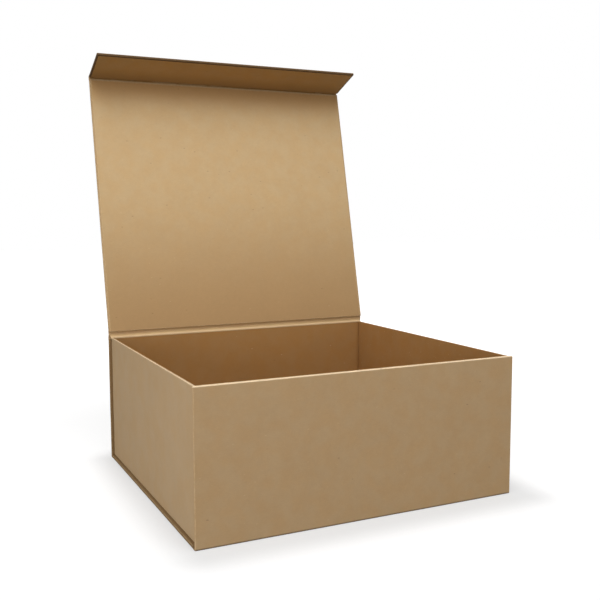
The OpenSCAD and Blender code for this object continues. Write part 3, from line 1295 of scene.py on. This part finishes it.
        lining = PaperWeb("flap_hinge_sheet", "flap_hinge_lining", "kraft_lining", path, -outward, face,
                          lining_half, FLAP_LINING, creases=[3], seed=29.0)
        for web in (cover, lining):
            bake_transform(web.build(shop))


def wall_thickness() -> float:
    """Works out the thickness of the tray's board from its floor."""
    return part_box("floor_lining")[0].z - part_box("tray")[0].z


@dataclass(frozen=True)
class SoftLamp:
    """A square soft light that points at the box."""

    name: str
    place: Vector
    aim: Vector
    size: float
    watts: float
    spread: float = 180.0

    def build(self) -> None:
        """Hangs the lamp."""
        lamp = bpy.data.lights.new(self.name, "AREA")
        lamp.shape = "SQUARE"
        lamp.size = self.size
        lamp.spread = math.radians(self.spread)
        lamp.energy = self.watts
        holder = bpy.data.objects.new(self.name, lamp)
        holder.location = self.place
        holder.rotation_euler = (self.aim - self.place).to_track_quat("-Z", "Y").to_euler()
        holder.visible_camera = False
        bpy.context.scene.collection.objects.link(holder)


@dataclass(frozen=True)
class Studio:
    """The pale floor, the soft light and the camera at the photograph's place."""

    ambient: float = 0.12
    floor_seen: float = 0.30
    floor_bounce: float = 0.22
    near_fill: float = 0.77
    fade_from: float = 0.36
    fade_to: float = 0.95
    foot_shade: float = 0.24
    foot_reach: float = 0.050
    shade_centre: Vector = Vector((0.007, -0.012, 0.0))
    floor_half: float = 6.0
    yaw: float = 25.670
    pitch: float = 5.983
    roll: float = 0.157
    lens: float = 49.91
    shift: float = -0.0006
    camera_place: Vector = Vector((-0.397256, -0.839027, 0.297520))

    def build(self) -> None:
        """Sets the stage."""
        bpy.context.scene.view_settings.view_transform = "Standard"
        self.build_floor()
        self.build_world()
        self.build_camera()
        for lamp in self.lamps():
            lamp.build()

    def lamps(self) -> list[SoftLamp]:
        """Lists the lamps.

        Returns:
            The lamps, those that show the box's front first.
        """
        middle = Vector((0.0, 0.0, 0.2))
        lid = Vector((0.0, 0.22, 0.42))
        return [
            SoftLamp("overhead", Vector((-0.15, -0.6, 1.7)), middle, 1.2, 9.5),
            SoftLamp("near_the_lid", Vector((-0.1, -0.45, 1.25)), lid, 0.9, 3.2, 110.0),
            SoftLamp("low_left", Vector((-1.05, -0.55, 0.24)), middle, 0.4, 3.3),
            SoftLamp("left", Vector((-1.8, 0.0, 0.7)), middle, 0.9, 5.0),
            SoftLamp("low_front", Vector((-0.5, -1.7, 0.27)), middle, 0.5, 2.6),
            SoftLamp("low_right", Vector((1.0, -1.4, 0.27)), middle, 0.5, 3.0),
            SoftLamp("right", Vector((1.8, 0.3, 0.8)), middle, 0.9, 6.5),
            SoftLamp("behind", Vector((0.4, 1.8, 1.0)), middle, 1.2, 9.0),
        ]

    def seen(self, kit: NodeKit) -> Socket:
        """Tells the rays that show the stage itself from those that only light by it.


        Returns:
            1 on rays that show the stage, 0 on the others.
        """
        rays = kit.add("ShaderNodeLightPath").outputs
        direct = kit.math("MAXIMUM", rays["Is Camera Ray"], rays["Is Glossy Ray"])
        return kit.math("MAXIMUM", direct, rays["Is Transmission Ray"])

    def build_floor(self) -> None:
        """Lays a pale floor that keeps the box's shadow, adds a painted shadow round its foot, and fades to
        white away from it.
        """
        bm = bmesh.new()
        bmesh.ops.create_grid(bm, x_segments=1, y_segments=1, size=self.floor_half)
        mesh = bpy.data.meshes.new("floor")
        bm.to_mesh(mesh)
        bm.free()
        floor = bpy.data.objects.new("floor", mesh)
        bpy.context.scene.collection.objects.link(floor)
        material = bpy.data.materials.new("pale_floor")
        material.use_nodes = True
        kit = NodeKit(material.node_tree)
        shader = material.node_tree.nodes["Principled BSDF"]
        seen = self.seen(kit)
        tones = [(tone, tone, tone, 1.0) for tone in (self.floor_bounce, self.floor_seen)]
        kit.feed(shader.inputs["Base Color"], kit.mix(seen, *tones))
        shader.inputs["Roughness"].default_value = 0.9
        shader.inputs["Specular IOR Level"].default_value = 0.1
        shader.inputs["Emission Color"].default_value = (1.0, 1.0, 1.0, 1.0)
        place = kit.add("ShaderNodeTexCoord").outputs["Object"]
        away = kit.add("ShaderNodeVectorMath", {0: place}, operation="LENGTH").outputs["Value"]
        fill = kit.ramp(away, self.fade_from, self.fade_to, self.near_fill, 1.0)
        # Painted shadow: the floor's glow dips round the box's footprint, set off towards the front and the
        # right
        half = Vector((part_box("front_board")[1].x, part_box("back_board")[1].y, 0.0))
        spread = kit.vector("ABSOLUTE", kit.vector("SUBTRACT", place, self.shade_centre))
        outside = kit.vector("MAXIMUM", kit.vector("SUBTRACT", spread, half), Vector())
        gap = kit.add("ShaderNodeVectorMath", {0: outside}, operation="LENGTH").outputs["Value"]
        shade = kit.ramp(gap, 0.0, self.foot_reach, self.foot_shade, 0.0)
        level = kit.math("SUBTRACT", fill, shade)
        kit.feed(shader.inputs["Emission Strength"], kit.math("MULTIPLY", level, seen))
        mesh.materials.append(material)

    def build_world(self) -> None:
        """Lights the box evenly from all sides, and shows white behind it."""
        world = bpy.data.worlds.new("studio")
        bpy.context.scene.world = world
        world.use_nodes = True
        kit = NodeKit(world.node_tree)
        background = world.node_tree.nodes["Background"]
        background.inputs["Color"].default_value = (1.0, 1.0, 1.0, 1.0)
        strength = kit.math("MULTIPLY_ADD", self.seen(kit), 1.0 - self.ambient, self.ambient)
        kit.feed(background.inputs["Strength"], strength)

    def build_camera(self) -> None:
        """Places the camera where the photograph was taken from."""
        data = bpy.data.cameras.new("photo_camera")
        data.lens = self.lens
        data.sensor_width = 36.0
        data.shift_x = self.shift
        camera = bpy.data.objects.new("photo_camera", data)
        yaw = Matrix.Rotation(math.radians(-self.yaw), 4, "Z")
        pitch = Matrix.Rotation(math.radians(90 - self.pitch), 4, "X")
        roll = Matrix.Rotation(math.radians(-self.roll), 4, "Z")
        camera.matrix_world = Matrix.Translation(self.camera_place) @ yaw @ pitch @ roll
        bpy.context.scene.collection.objects.link(camera)
        bpy.context.scene.camera = camera


def case_from_frame() -> Case:
    """Reads the lid's and the flap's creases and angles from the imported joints.

    Returns:
        The case, with its lid and flap as they stand.
    """
    lid, flap = joint("lid_hinge"), joint("flap_hinge")
    lid_turn = -lid["range_deg"][1]
    flap_turn = lid_turn - flap["range_deg"][0]
    lid_place = turned_frame(Vector(lid["pos_m"]), lid_turn)
    flap_place = turned_frame(Vector(flap["pos_m"]), flap_turn)
    return Case(lid_place, lid_turn, flap_place, flap_turn)


def main() -> None:
    """Builds the dressed box and its stage."""
    logging.basicConfig(level=logging.INFO, format="%(name)s: %(message)s")
    noise.seed_set(NOISE_SEED)
    shop = EffectShop()
    Studio().build()
    FoldedTray(wall_thickness()).build(shop)
    LiningSheet("tray_floor_sheet", "floor_lining", "box", Matrix.Identity(4), 0.0, 5.3).build(shop)
    case_from_frame().build(shop)


if __name__ == "__main__":
    main()
